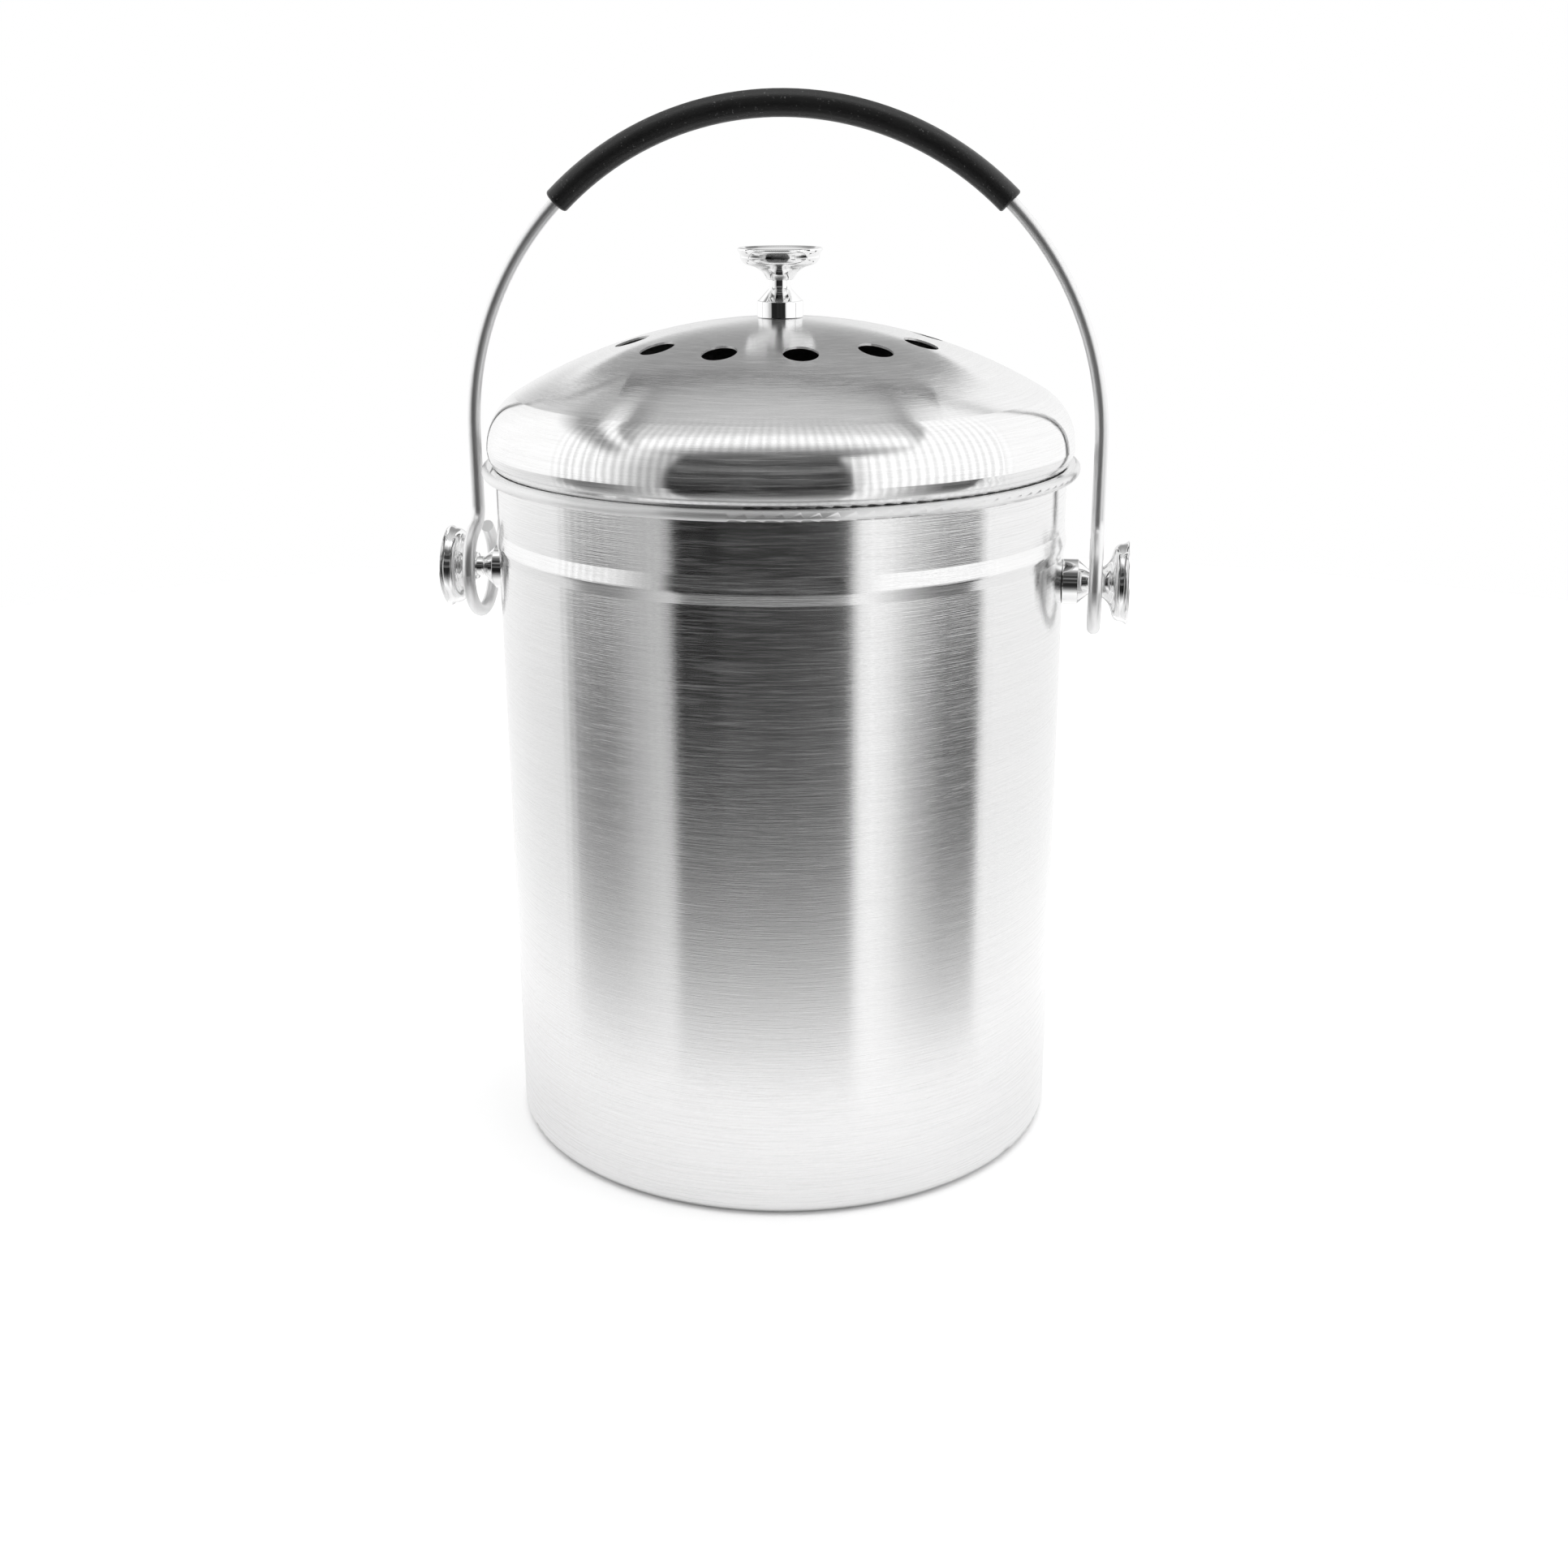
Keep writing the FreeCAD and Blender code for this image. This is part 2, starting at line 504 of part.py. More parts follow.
def make_screw(label, axis, along, height, through):
    """Pan-head screw with a cross recess; its origin is the underside of the head."""
    body = new_body(label)
    sketch = new_sketch(body, "section")
    head_end = "-Sizes.screw_head_height"
    head_side = "Sizes.screw_head_radius"
    head_round = "Sizes.screw_head_round"
    draw_path(sketch, ("0", head_end), [
        (f"{head_side} - {head_round}", head_end),
        (head_side, f"{head_end} + {head_round}", head_round, LEFT_TURN),
        (head_side, "0"),
        ("Sizes.screw_radius", "0"),
        ("Sizes.screw_radius", f"{through} + Sizes.screw_grip"),
        ("0", f"{through} + Sizes.screw_grip"),
    ])
    revolve(body, "turned", sketch)
    arm = "Sizes.recess_length / 2"
    half = "Sizes.recess_width / 2"
    for name, across, up in (("recess_across", arm, half), ("recess_upright", half, arm)):
        recess = new_sketch(body, name, "XY_Plane", head_end)
        draw_rectangle(recess, f"-{across}", f"-{up}", across, up)
        cut_through(body, f"{name}_cut", recess, "Sizes.recess_depth")
    place(body, axis, along, height)
    return body


def make_washer(label, axis, along, height):
    body = new_body(label)
    sketch = new_sketch(body, "outline", "XY_Plane")
    draw_circle(sketch, "Sizes.washer_radius")
    draw_circle(sketch, SCREW_HOLE)
    pad(body, "stamped", sketch, "Sizes.washer_thickness")
    place(body, axis, along, height)
    return body


def sweep_wire(body, name, profile, path):
    feature = body.newObject("PartDesign::AdditivePipe", f"{body.Label}_{name}")
    feature.Profile = profile
    feature.Spine = path
    return feature


def make_bail():
    """Bent wire: arch and legs in one plane, and an open eye at each foot, square to the pivots."""
    body = new_body("bail_wire")
    section = new_sketch(body, "section", "XY_Plane", LEG_END)
    draw_circle(section, "Sizes.wire_radius", f"-{BAIL_HALF_WIDTH}")
    arch = new_sketch(body, "arch_path")
    draw_path(arch, (f"-{BAIL_HALF_WIDTH}", LEG_END), [
        (f"-{BAIL_HALF_WIDTH}", ARCH_HEIGHT),
        ("0", f"{ARCH_HEIGHT} + {BAIL_HALF_WIDTH}", BAIL_HALF_WIDTH, RIGHT_TURN),
        (BAIL_HALF_WIDTH, ARCH_HEIGHT, BAIL_HALF_WIDTH, RIGHT_TURN),
        (BAIL_HALF_WIDTH, LEG_END),
    ], closed=False)
    sweep_wire(body, "arch", section, arch)
    bend_share = "Sizes.eye_radius / (Sizes.eye_radius + Sizes.eye_bend)"
    eye_corners = [
        (f"-Sizes.eye_bend * {bend_share}", f"{PIVOT_HEIGHT} + {EYE_BEND_RISE} * {bend_share}",
         "Sizes.eye_bend", RIGHT_TURN),
        ("-Sizes.eye_radius", PIVOT_HEIGHT, "Sizes.eye_radius", LEFT_TURN),
        ("0", f"{PIVOT_HEIGHT} - Sizes.eye_radius", "Sizes.eye_radius", LEFT_TURN),
        ("Sizes.eye_radius", PIVOT_HEIGHT, "Sizes.eye_radius", LEFT_TURN),
        ("Sizes.eye_radius * cos(Sizes.eye_end_angle)",
         f"{PIVOT_HEIGHT} + Sizes.eye_radius * sin(Sizes.eye_end_angle)", "Sizes.eye_radius", LEFT_TURN),
    ]
    for side, across in (("left", f"-{BAIL_HALF_WIDTH}"), ("right", BAIL_HALF_WIDTH)):
        foot = new_sketch(body, f"{side}_foot", "XY_Plane", LEG_END)
        draw_circle(foot, "Sizes.wire_radius", across)
        path = new_sketch(body, f"{side}_eye_path", "YZ_Plane", across)
        draw_path(path, ("0", LEG_END), eye_corners, closed=False)
        sweep_wire(body, f"{side}_eye", foot, path)
    return body


def make_grip():
    """Rubber sleeve round the top of the arch, with rounded ends."""
    body = new_body("grip_sleeve")
    sketch = new_sketch(body, "section", "YZ_Plane")
    top = f"{ARCH_HEIGHT} + {BAIL_HALF_WIDTH}"
    draw_circle(sketch, GRIP_RADIUS, "0", top)
    draw_circle(sketch, GRIP_BORE, "0", top)
    axis_start = Vector(0, measure(ARCH_HEIGHT), 0)
    axis_end = Vector(measure(GRIP_RADIUS), measure(ARCH_HEIGHT), 0)
    construction = True
    axis = sketch.addGeometry(Part.LineSegment(axis_start, axis_end), construction)
    pin_point(sketch, axis, 1, "0", ARCH_HEIGHT)
    pin_point(sketch, axis, 2, GRIP_RADIUS, ARCH_HEIGHT)
    feature = body.newObject("PartDesign::Revolution", "grip_sleeve_moulded")
    feature.Profile = sketch
    feature.ReferenceAxis = (sketch, ["Axis0"])
    feature.Midplane = True
    feature.setExpression("Angle", "2 * Sizes.grip_half_angle")
    round_circles(body, "ends", "Sizes.grip_end_round", GRIP_RADIUS)
    return body


def make_filter_tray():
    """Moulded tray: wall and flange that push into the skirt, with an open grille under the filter."""
    body = new_body("filter_tray")
    section = new_sketch(body, "section")
    wall_inside = f"{TRAY_RADIUS} - Sizes.tray_wall"
    flange_inside = f"{TRAY_RADIUS} - Sizes.tray_flange"
    draw_path(section, (flange_inside, "0"), [
        (TRAY_RADIUS, "0"),
        (TRAY_RADIUS, "Sizes.tray_height"),
        (wall_inside, "Sizes.tray_height"),
        (wall_inside, "Sizes.tray_wall"),
        (flange_inside, "Sizes.tray_wall"),
    ])
    revolve(body, "ring", section)
    spoke = new_sketch(body, "spoke_outline", "XY_Plane")
    half = "Sizes.spoke_width / 2"
    draw_rectangle(spoke, "0", f"-{half}", f"{flange_inside} + {half}", half)
    bar = pad(body, "spoke", spoke, "Sizes.tray_wall")
    polar_pattern(body, "spokes", bar, "Sizes.spoke_count")
    hub = new_sketch(body, "hub_outline", "XY_Plane")
    draw_circle(hub, "Sizes.hub_radius")
    pad(body, "hub", hub, "Sizes.tray_wall")
    for name in ("inner_ring", "outer_ring"):
        ring = new_sketch(body, f"{name}_outline", "XY_Plane")
        draw_circle(ring, f"Sizes.{name}_radius + Sizes.ring_width")
        draw_circle(ring, f"Sizes.{name}_radius")
        pad(body, name, ring, "Sizes.tray_wall")
    place(body, 0, "0", SKIRT_BOTTOM)
    return body


def make_filter():
    """Round charcoal pad that lies in the tray."""
    body = new_body("charcoal_filter")
    sketch = new_sketch(body, "outline", "XY_Plane")
    draw_circle(sketch, FILTER_RADIUS)
    pad(body, "pad", sketch, "Sizes.filter_thickness")
    round_circles(body, "edges", "Sizes.filter_round", FILTER_RADIUS)
    place(body, 0, "0", f"{SKIRT_BOTTOM} + Sizes.tray_wall")
    return body


pieces = [make_pail(), make_lid(), make_bail(), make_grip(), make_filter_tray(), make_filter()]

# The same knob, screw and washer on both sides of the pail and on the lid.
wall_screw_seat = f"({WALL_WASHER} - Sizes.washer_thickness)"
wall_through = f"({KNOB_SEAT} - {wall_screw_seat})"
for side, axis in (("left", -1), ("right", 1)):
    pieces.append(make_knob(f"{side}_pivot_knob", axis, KNOB_SEAT, PIVOT_HEIGHT))
    pieces.append(make_washer(f"{side}_pivot_washer", axis, wall_screw_seat, PIVOT_HEIGHT))
    pieces.append(make_screw(f"{side}_pivot_screw", axis, wall_screw_seat, PIVOT_HEIGHT, wall_through))

lid_knob_seat = f"({DOME_TOP} + Sizes.seat_clearance)"
lid_screw_seat = f"({LID_WASHER} - Sizes.washer_thickness)"
lid_through = f"({lid_knob_seat} - {lid_screw_seat})"
pieces.append(make_knob("lid_knob", 0, "0", lid_knob_seat))
pieces.append(make_washer("lid_knob_washer", 0, "0", lid_screw_seat))
pieces.append(make_screw("lid_knob_screw", 0, "0", lid_screw_seat, lid_through))

doc.recompute()
for item in doc.Objects:
    if {"Invalid", "Error"} & set(item.State):
        raise RuntimeError(f"{item.Name} failed: {item.State}")
for piece in pieces:
    if piece.Shape.isNull() or not piece.Shape.isValid() or len(piece.Shape.Solids) != 1:
        raise RuntimeError(f"{piece.Label} is not one sound solid")

os.makedirs("parts", exist_ok=True)
for piece in pieces:
    piece.Shape.exportStep(f"parts/{piece.Label}.step")
    box = piece.Shape.optimalBoundingBox()
    print(f"{piece.Label}: {piece.Shape.Volume:.0f} mm3, X {box.XMin:.2f} to {box.XMax:.2f}, "
          f"Y {box.YMin:.2f} to {box.YMax:.2f}, Z {box.ZMin:.2f} to {box.ZMax:.2f}")
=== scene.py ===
import math

import bmesh
import bpy
from mathutils import Matrix, Vector, noise


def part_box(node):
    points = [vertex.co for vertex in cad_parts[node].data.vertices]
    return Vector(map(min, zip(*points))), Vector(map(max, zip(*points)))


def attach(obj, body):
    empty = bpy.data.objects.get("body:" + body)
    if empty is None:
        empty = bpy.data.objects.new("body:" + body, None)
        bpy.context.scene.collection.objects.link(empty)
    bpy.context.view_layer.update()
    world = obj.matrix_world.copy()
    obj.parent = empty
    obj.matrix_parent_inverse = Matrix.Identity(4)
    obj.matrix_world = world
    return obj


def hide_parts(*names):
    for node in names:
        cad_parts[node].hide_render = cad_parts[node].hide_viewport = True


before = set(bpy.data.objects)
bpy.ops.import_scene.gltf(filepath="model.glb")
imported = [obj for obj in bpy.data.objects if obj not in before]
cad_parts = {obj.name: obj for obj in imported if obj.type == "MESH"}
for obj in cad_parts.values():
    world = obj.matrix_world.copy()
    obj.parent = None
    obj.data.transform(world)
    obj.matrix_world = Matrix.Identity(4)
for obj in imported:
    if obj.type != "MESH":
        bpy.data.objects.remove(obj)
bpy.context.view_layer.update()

scene = bpy.context.scene

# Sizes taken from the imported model, in metres. The wall's radius is where a knob is seated on it
WALL_RADIUS = -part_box("left_pivot_knob")[1].x
RIM_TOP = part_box("pail_shell")[1].z
LID_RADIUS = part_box("lid_dome")[1].x
BAIL_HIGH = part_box("bail_wire")[1]
PAD_LOW, PAD_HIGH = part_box("charcoal_filter")
# Half the wire's thickness, which no box gives, and the arch of the bail along the middle of the wire
WIRE_RADIUS = 0.002
ARCH_RADIUS = BAIL_HIGH.x - WIRE_RADIUS
ARCH_MIDDLE = BAIL_HIGH.z - WIRE_RADIUS - ARCH_RADIUS

# Sheet steel: colour and roughness where it is brushed, on the inside and on the rolled rim
STEEL_SHADE = 0.85
STEEL_ROUGHNESS = 0.11
# Inside, the darker colour is painted shade; the higher roughness there is the real unbrushed finish
INSIDE_PAINTED_SHADE = 0.40
INSIDE_ROUGHNESS = 0.45
RIM_ROUGHNESS = 0.36
RIM_START = (LID_RADIUS, LID_RADIUS + 0.0003)
# It is inside where its normal points back to this height on the axis: cosines, from inside to outside
INSIDE_MIDDLE = 0.6 * PAD_LOW.z
INSIDE_FACING = (-0.5, -0.3)
# Within this radius its upright faces are punched edges, with less metal in their look: the rise of the
# normal, from upright to level
PUNCHED_RADIUS = 0.7 * WALL_RADIUS
PUNCHED_RISE = (0.4, 0.6)
PUNCHED_METALLIC = 0.3
# Strokes of the brush round the axis: their length, their width and the detail of their noise
FINE_STROKES = (0.010, 0.00022, 2.0)
COARSE_STROKES = (0.045, 0.0008, 2.0)
SCRATCHES = (0.016, 0.00036, 1.0)
# Depth of the fine strokes, and the share of it that the coarse ones have
STROKE_DEPTH = 0.000030
COARSE_SHARE = 0.2
# Radii over which that relief ends: at the rim of the pail, and on the lid's shoulder, which keeps a share
PAIL_RELIEF_END = (WALL_RADIUS + 0.0008, WALL_RADIUS + 0.0016)
LID_RELIEF_END = (0.80 * WALL_RADIUS, 0.92 * WALL_RADIUS)
SHOULDER_RELIEF = 0.2
# How much the strokes change the colour of the wall and of the lid
WALL_STROKES = 0.07
LID_STROKES = 0.14
# How much metal a fine stroke and a scratch take away, and the levels of noise over which that grows
STROKE_LOSS = (0.01, 0.11)
STROKE_LEVELS = (0.45, 0.75)
SCRATCH_LOSS = (0.0, 0.16)
SCRATCH_LEVELS = (0.50, 0.72)

# Draw lines along the wire
DRAW_LINE_LENGTH = 0.02
DRAW_LINE_WIDTH = 0.0003
# Fibres of the felt, per metre along and across them
FIBRES_ALONG = 900.0
FIBRES_ACROSS = 2400.0
# Lumps on top of the filter pad, per metre
PAD_LUMPS = 140.0

# The photograph's camera: its square frame, and where it stands, from the middle of the base, in metres
# and radians
PHOTO_SIDE = 1932
FOCAL_PIXELS = 2412.7
SENSOR = 36.0
CAMERA_BEARING = math.radians(8.5)
CAMERA_DISTANCE = 0.6017
CAMERA_HEIGHT = 0.3056
CAMERA_PITCH = 0.3184
CAMERA_ROLL = -0.0049
CAMERA_PAN = 0.0007

# Added to squares before their root is taken, so that nothing is divided by zero
TINY = 1e-9
FULL_TURN = 2.0 * math.pi


class Nodes:
    """Short calls that build one node tree."""

    def __init__(self, tree):
        self.tree = tree
        tree.nodes.clear()

    def feed(self, socket, value):
        if isinstance(value, bpy.types.NodeSocket):
            self.tree.links.new(value, socket)
        else:
            socket.default_value = value

    def add(self, kind, values=None, **settings):
        node = self.tree.nodes.new(kind)
        for key, value in settings.items():
            setattr(node, key, value)
        for name, value in (values or {}).items():
            self.feed(node.inputs[name], value)
        return node

    def math(self, operation, *values, clamp=False):
        node = self.add("ShaderNodeMath", operation=operation, use_clamp=clamp)
        for socket, value in zip(node.inputs, values):
            self.feed(socket, value)
        return node.outputs[0]

    def vector_math(self, operation, *values, output="Vector"):
        node = self.add("ShaderNodeVectorMath", dict(enumerate(values)), operation=operation)
        return node.outputs[output]

    def length(self, x, y):
        squares = self.math("ADD", self.math("MULTIPLY", x, x), self.math("MULTIPLY", y, y))
        return self.math("SQRT", self.math("ADD", squares, TINY))

    def remap(self, value, low, high, to_low, to_high, smooth=False):
        node = self.add("ShaderNodeMapRange", interpolation_type="SMOOTHSTEP" if smooth else "LINEAR")
        for socket, number in zip(node.inputs, (value, low, high, to_low, to_high)):
            self.feed(socket, number)
        return node.outputs[0]

    def vector(self, x, y, z):
        return self.add("ShaderNodeCombineXYZ", {"X": x, "Y": y, "Z": z}).outputs[0]

    def noise(self, vector, scale=1.0, detail=2.0, roughness=0.5):
        values = {"Vector": vector, "Scale": scale, "Detail": detail, "Roughness": roughness}
        return self.add("ShaderNodeTexNoise", values).outputs[0]

    def grey(self, value):
        return self.add("ShaderNodeCombineColor", {"Red": value, "Green": value, "Blue": value}).outputs[0]

    def ramp(self, value, stops):
        low, high = stops[0][0], stops[-1][0]
        node = self.add("ShaderNodeValToRGB", {"Fac": self.remap(value, low, high, 0.0, 1.0)})
        points = node.color_ramp.elements
        while len(points) < len(stops):
            points.new(1.0)
        for point, (place, level) in zip(points, stops):
            point.position = (place - low) / (high - low)
            point.color = (level, level, level, 1.0)
        return node.outputs[0]

    def mix(self, first, second, share):
        rest = self.math("MULTIPLY", first, self.math("SUBTRACT", 1.0, share))
        return self.math("MULTIPLY_ADD", second, share, rest)


def new_material(name):
    material = bpy.data.materials.new(name)
    material.use_nodes = True
    graph = Nodes(material.node_tree)
    shader = graph.add("ShaderNodeBsdfPrincipled")
    graph.add("ShaderNodeOutputMaterial", {"Surface": shader.outputs[0]})
    return material, graph, shader


def bump(graph, shader, height, strength, distance):
    values = {"Height": height, "Strength": strength, "Distance": distance}
    graph.feed(shader.inputs["Normal"], graph.add("ShaderNodeBump", values).outputs[0])


def wander(graph, base, *shares):
    """The base number moved by each noise about its middle, times its share."""
    total = base
    for value, share in shares:
        total = graph.math("ADD", total, graph.math("MULTIPLY", graph.math("SUBTRACT", value, 0.5), share))
    return total


def object_space(graph):
    place = graph.add("ShaderNodeTexCoord").outputs["Object"]
    parts = graph.add("ShaderNodeSeparateXYZ", {"Vector": place}).outputs
    return place, parts[0], parts[1], parts[2]


def brushed_steel():
    """Satin sheet steel brushed round the axis in fine and coarse strokes; dull inside, with painted shade
    there.
    """
    material, graph, shader = new_material("steel_brushed_round")
    place, x, y, z = object_space(graph)
    radius = graph.length(x, y)
    outward = graph.vector_math("SUBTRACT", place, (0.0, 0.0, INSIDE_MIDDLE))
    outward = graph.vector_math("NORMALIZE", outward)
    normal = graph.add("ShaderNodeTexCoord").outputs["Normal"]
    facing = graph.vector_math("DOT_PRODUCT", normal, outward, output="Value")
    inside = graph.remap(facing, *INSIDE_FACING, 1.0, 0.0)
    rise = graph.math("ABSOLUTE", graph.add("ShaderNodeSeparateXYZ", {"Vector": normal}).outputs[2])
    upright = graph.remap(rise, *PUNCHED_RISE, 1.0, 0.0)
    punched = graph.math("MULTIPLY", upright, graph.math("LESS_THAN", radius, PUNCHED_RADIUS))

    def strokes(length, width, detail):
        turns = WALL_RADIUS / length
        around_x = graph.math("MULTIPLY", graph.math("DIVIDE", x, radius), turns)
        around_y = graph.math("MULTIPLY", graph.math("DIVIDE", y, radius), turns)
        line = graph.vector(around_x, around_y, graph.math("DIVIDE", z, width))
        values = {"Vector": line, "W": graph.math("DIVIDE", radius, width), "Scale": 1.0, "Detail": detail}
        return graph.add("ShaderNodeTexNoise", values, noise_dimensions="4D").outputs[0]

    fine = strokes(*FINE_STROKES)
    coarse = strokes(*COARSE_STROKES)
    scratches = strokes(*SCRATCHES)
    handled = graph.noise(place, scale=22.0, detail=3.0)
    on_lid = graph.math("GREATER_THAN", z, RIM_TOP)

    shown = graph.math("MULTIPLY_ADD", on_lid, LID_STROKES - WALL_STROKES, WALL_STROKES)
    colour = wander(graph, STEEL_SHADE, (fine, shown), (coarse, shown), (handled, 0.03))
    # Inside, the colour falls to the darker level: painted shade
    colour = graph.mix(colour, wander(graph, INSIDE_PAINTED_SHADE, (fine, 0.16), (handled, 0.10)), inside)
    graph.feed(shader.inputs["Base Color"], graph.grey(colour))

    gloss = wander(graph, STEEL_ROUGHNESS, (coarse, 0.03), (handled, 0.03))
    gloss = graph.mix(gloss, RIM_ROUGHNESS, graph.remap(radius, *RIM_START, 0.0, 1.0))
    graph.feed(shader.inputs["Roughness"], graph.mix(gloss, INSIDE_ROUGHNESS, inside))

    stroke_loss = graph.remap(fine, *STROKE_LEVELS, *STROKE_LOSS)
    scratch_loss = graph.remap(scratches, *SCRATCH_LEVELS, *SCRATCH_LOSS)
    metal = graph.math("SUBTRACT", 1.0, graph.math("ADD", stroke_loss, scratch_loss))
    graph.feed(shader.inputs["Metallic"], graph.mix(metal, PUNCHED_METALLIC, punched))

    shader.inputs["Anisotropic"].default_value = 1.0
    shader.inputs["Anisotropic Rotation"].default_value = 0.25
    around = graph.add("ShaderNodeTangent", direction_type="RADIAL", axis="Z").outputs[0]
    graph.feed(shader.inputs["Tangent"], around)

    pail_relief = graph.remap(radius, *PAIL_RELIEF_END, 1.0, 0.0)
    lid_relief = graph.remap(radius, *LID_RELIEF_END, 1.0, SHOULDER_RELIEF)
    relief = graph.mix(pail_relief, lid_relief, on_lid)
    height = graph.math("MULTIPLY_ADD", coarse, COARSE_SHARE, fine)
    bump(graph, shader, graph.math("MULTIPLY", height, relief), strength=1.0, distance=STROKE_DEPTH)
    return material


def chrome():
    """Polished plating over a casting that isn't quite true."""
    material, graph, shader = new_material("chrome_polished")
    place = object_space(graph)[0]
    casting = graph.noise(place, scale=90.0, detail=1.0)
    haze = graph.noise(place, scale=700.0, detail=3.0)
    graph.feed(shader.inputs["Base Color"], graph.grey(wander(graph, 0.90, (haze, 0.06))))
    graph.feed(shader.inputs["Roughness"], wander(graph, 0.035, (haze, 0.04)))
    shader.inputs["Metallic"].default_value = 1.0
    bump(graph, shader, casting, strength=0.03, distance=0.002)
    return material


def drawn_wire():
    """Bright wire with fine draw lines along the bail."""
    material, graph, shader = new_material("steel_drawn_wire")
    place, x, y, z = object_space(graph)
    out = graph.length(x, graph.math("SUBTRACT", z, ARCH_MIDDLE))
    along = graph.math("MULTIPLY", graph.math("DIVIDE", x, out), ARCH_RADIUS / DRAW_LINE_LENGTH)
    across = graph.math("DIVIDE", out, DRAW_LINE_WIDTH)
    lines = graph.noise(graph.vector(along, across, graph.math("DIVIDE", y, DRAW_LINE_WIDTH)))
    dull = graph.noise(place, scale=60.0, detail=3.0)
    graph.feed(shader.inputs["Base Color"], graph.grey(wander(graph, 0.88, (lines, 0.06), (dull, 0.06))))
    graph.feed(shader.inputs["Roughness"], wander(graph, 0.40, (lines, 0.06), (dull, 0.08)))
    shader.inputs["Metallic"].default_value = 1.0
    bump(graph, shader, lines, strength=0.02, distance=0.0002)
    return material


def fastener_steel():
    """Plain turned stainless, with fine tool marks."""
    material, graph, shader = new_material("steel_fastener")
    place = object_space(graph)[0]
    marks = graph.noise(place, scale=2200.0, detail=2.0)
    stain = graph.noise(place, scale=300.0, detail=2.0)
    graph.feed(shader.inputs["Base Color"], graph.grey(wander(graph, 0.62, (marks, 0.18), (stain, 0.10))))
    graph.feed(shader.inputs["Roughness"], wander(graph, 0.30, (marks, 0.16), (stain, 0.08)))
    shader.inputs["Metallic"].default_value = 1.0
    bump(graph, shader, marks, strength=0.08, distance=0.0002)
    return material


def rubber():
    """Smooth black rubber with a fine moulded skin and a little dust in it."""
    material, graph, shader = new_material("rubber_black")
    place = object_space(graph)[0]
    skin = graph.noise(place, scale=2600.0, detail=3.0)
    clouds = graph.noise(place, scale=90.0, detail=3.0)
    dust = graph.remap(graph.noise(place, scale=1500.0, detail=1.0), 0.68, 0.76, 0.0, 0.10, smooth=True)
    shade = graph.math("ADD", wander(graph, 0.011, (skin, 0.006), (clouds, 0.006)), dust)
    graph.feed(shader.inputs["Base Color"], graph.grey(shade))
    graph.feed(shader.inputs["Roughness"], wander(graph, 0.33, (skin, 0.16), (clouds, 0.12)))
    shader.inputs["Specular IOR Level"].default_value = 0.6
    bump(graph, shader, skin, strength=0.22, distance=0.0003)
    return material


def plastic():
    """Black moulding with a fine spark-eroded grain."""
    material, graph, shader = new_material("plastic_black_grained")
    place = object_space(graph)[0]
    grain = graph.noise(place, scale=1800.0, detail=2.0)
    flow = graph.noise(place, scale=40.0, detail=3.0)
    graph.feed(shader.inputs["Base Color"], graph.grey(wander(graph, 0.024, (grain, 0.010), (flow, 0.008))))
    graph.feed(shader.inputs["Roughness"], wander(graph, 0.42, (grain, 0.16), (flow, 0.10)))
    bump(graph, shader, grain, strength=0.25, distance=0.0003)
    return material


def felt():
    """Needled black felt, with fibres both ways and clumps."""
    material, graph, shader = new_material("felt_charcoal")
    place, x, y, z = object_space(graph)

    def fibres_per_metre(on_x, on_y):
        return graph.noise(graph.vector(graph.math("MULTIPLY", x, on_x), graph.math("MULTIPLY", y, on_y), z))

    wisps = fibres_per_metre(FIBRES_ALONG, FIBRES_ACROSS)
    cross = fibres_per_metre(FIBRES_ACROSS, FIBRES_ALONG)
    fibres = graph.math("MAXIMUM", wisps, cross)
    clumps = graph.noise(place, scale=160.0, detail=4.0)
    shade = wander(graph, 0.030, (fibres, 0.040), (clumps, 0.022))
    graph.feed(shader.inputs["Base Color"], graph.grey(shade))
    graph.feed(shader.inputs["Roughness"], wander(graph, 0.92, (fibres, 0.10)))
    shader.inputs["Sheen Weight"].default_value = 0.25
    shader.inputs["Sheen Roughness"].default_value = 0.5
    bump(graph, shader, graph.math("ADD", fibres, clumps), strength=0.6, distance=0.0006)
    return material


